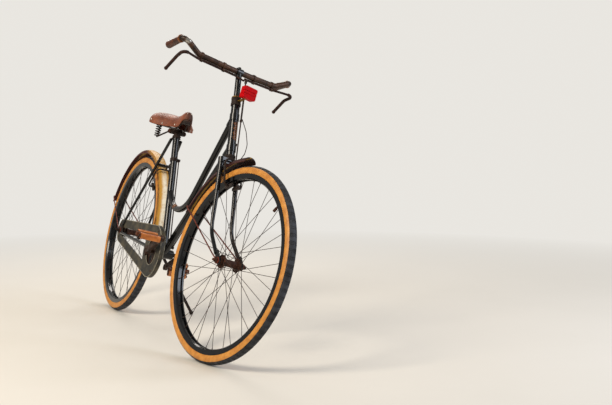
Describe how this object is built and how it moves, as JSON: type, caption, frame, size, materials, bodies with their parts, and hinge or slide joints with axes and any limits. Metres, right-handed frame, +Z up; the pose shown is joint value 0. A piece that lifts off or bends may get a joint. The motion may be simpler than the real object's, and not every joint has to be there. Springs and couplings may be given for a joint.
{
  "type": "loop-frame roadster bicycle",
  "caption": "Old loop-frame roadster bicycle with rod brakes, chain case, mudguards, sprung leather saddle and box lamp, leaning on a side stand with its front wheel turned slightly left.",
  "frame": {"origin": "floor under the centre of the bounding box, the bicycle leaning left on its stand", "axes": "+X forward along the bicycle, +Y to its left, +Z up"},
  "size_m": [1.8824, 0.5997, 1.1533],
  "materials": {
    "tyre": "aged tread with tan sidewalls",
    "rim_enamel": "black enamel, glossy and scuffed",
    "rusty_steel": "bare steel with brown rust",
    "frame_enamel": "black stove enamel, worn at edges",
    "guard_enamel": "cream enamel with rust",
    "case_enamel": "olive black, dull and worn",
    "bar_steel": "tarnished plating, dark brown",
    "grip_rubber": "dark brown, worn smooth",
    "pedal_rubber": "tan gum rubber",
    "brass": "dull brass",
    "lamp_red": "red moulded lamp case",
    "saddle_leather": "reddish brown, rubbed",
    "brake_rubber": "brake block rubber"
  },
  "bodies": {
    "front_wheel": {"front_tyre": "tyre", "front_rim": "rim_enamel", "front_hub": "rusty_steel", "front_spokes": "rusty_steel"},
    "rear_wheel": {"rear_tyre": "tyre", "rear_rim": "rim_enamel", "rear_hub": "rusty_steel", "rear_spokes": "rusty_steel", "rear_sprocket": "rusty_steel"},
    "root": {"rear_axle": "rusty_steel", "head_tube": "frame_enamel", "seat_tube": "frame_enamel", "down_tube": "frame_enamel", "loop_tube": "frame_enamel", "head_lugs": "frame_enamel", "crank_shell": "frame_enamel", "chain_stays": "frame_enamel", "seat_stays": "frame_enamel", "rear_fork_ends": "frame_enamel", "stay_bridges": "frame_enamel", "rear_mudguard": "guard_enamel", "rear_guard_stay": "rusty_steel", "chain": "rusty_steel", "chain_case": "case_enamel", "bearing_cups": "rusty_steel", "rear_stirrup": "rusty_steel", "rear_brake_blocks": "brake_rubber", "rear_brake_rods": "rusty_steel", "rear_brake_pivots": "rusty_steel", "seat_pillar": "rusty_steel", "seat_collar": "rusty_steel", "saddle_springs": "rusty_steel", "saddle_leather": "saddle_leather", "saddle_frame": "rusty_steel", "stand_bracket": "rusty_steel"},
    "fork": {"front_axle": "rusty_steel", "front_mudguard": "guard_enamel", "front_guard_stay": "rusty_steel", "fork_crown": "frame_enamel", "fork_blades": "frame_enamel", "headset_races": "brass", "handlebar": "bar_steel", "stem": "frame_enamel", "grips": "grip_rubber", "brake_levers": "bar_steel", "lever_brackets": "bar_steel", "front_stirrup": "rusty_steel", "front_brake_blocks": "brake_rubber", "lamp": "lamp_red", "lamp_bracket": "brass", "front_brake_rods": "rusty_steel"},
    "crank": {"chainring": "rusty_steel", "crank_arms": "rusty_steel", "crank_spindles": "rusty_steel"},
    "pedal_right": {"pedal_right_frame": "rusty_steel", "pedal_right_rubbers": "pedal_rubber"},
    "pedal_left": {"pedal_left_frame": "rusty_steel", "pedal_left_rubbers": "pedal_rubber"},
    "stand": {"stand_leg": "rusty_steel"}
  },
  "joints": [
    {"name": "steering", "type": "hinge", "parent": "root", "child": "fork", "pos_m": [0.40079, -0.03279, 0.71055], "axis": [-0.3158, 0.2342, 0.9195], "range_deg": [-71.5, 48.5]},
    {"name": "front_wheel_spin", "type": "hinge", "parent": "fork", "child": "front_wheel", "pos_m": [0.59232, -0.11439, 0.33925], "axis": [-0.1896, 0.9339, -0.303], "continuous": true},
    {"name": "rear_wheel_spin", "type": "hinge", "parent": "root", "child": "rear_wheel", "pos_m": [-0.57647, -0.12647, 0.34462], "axis": [-0.0004, 0.969, -0.247], "continuous": true},
    {"name": "crank_spin", "type": "hinge", "parent": "root", "child": "crank", "pos_m": [-0.08254, -0.13684, 0.30313], "axis": [-0.0004, 0.969, -0.247], "continuous": true},
    {"name": "pedal_right_spin", "type": "hinge", "parent": "crank", "child": "pedal_right", "pos_m": [0.07556, -0.24729, 0.39589], "axis": [-0.0004, 0.969, -0.247], "continuous": true},
    {"name": "pedal_left_spin", "type": "hinge", "parent": "crank", "child": "pedal_left", "pos_m": [-0.24064, -0.02639, 0.21036], "axis": [-0.0004, 0.969, -0.247], "continuous": true},
    {"name": "stand_fold", "type": "hinge", "parent": "root", "child": "stand", "pos_m": [-0.34156, -0.07526, 0.2907], "axis": [0.0505, 0.906, 0.4203], "range_deg": [0, 94.9]}
  ]
}
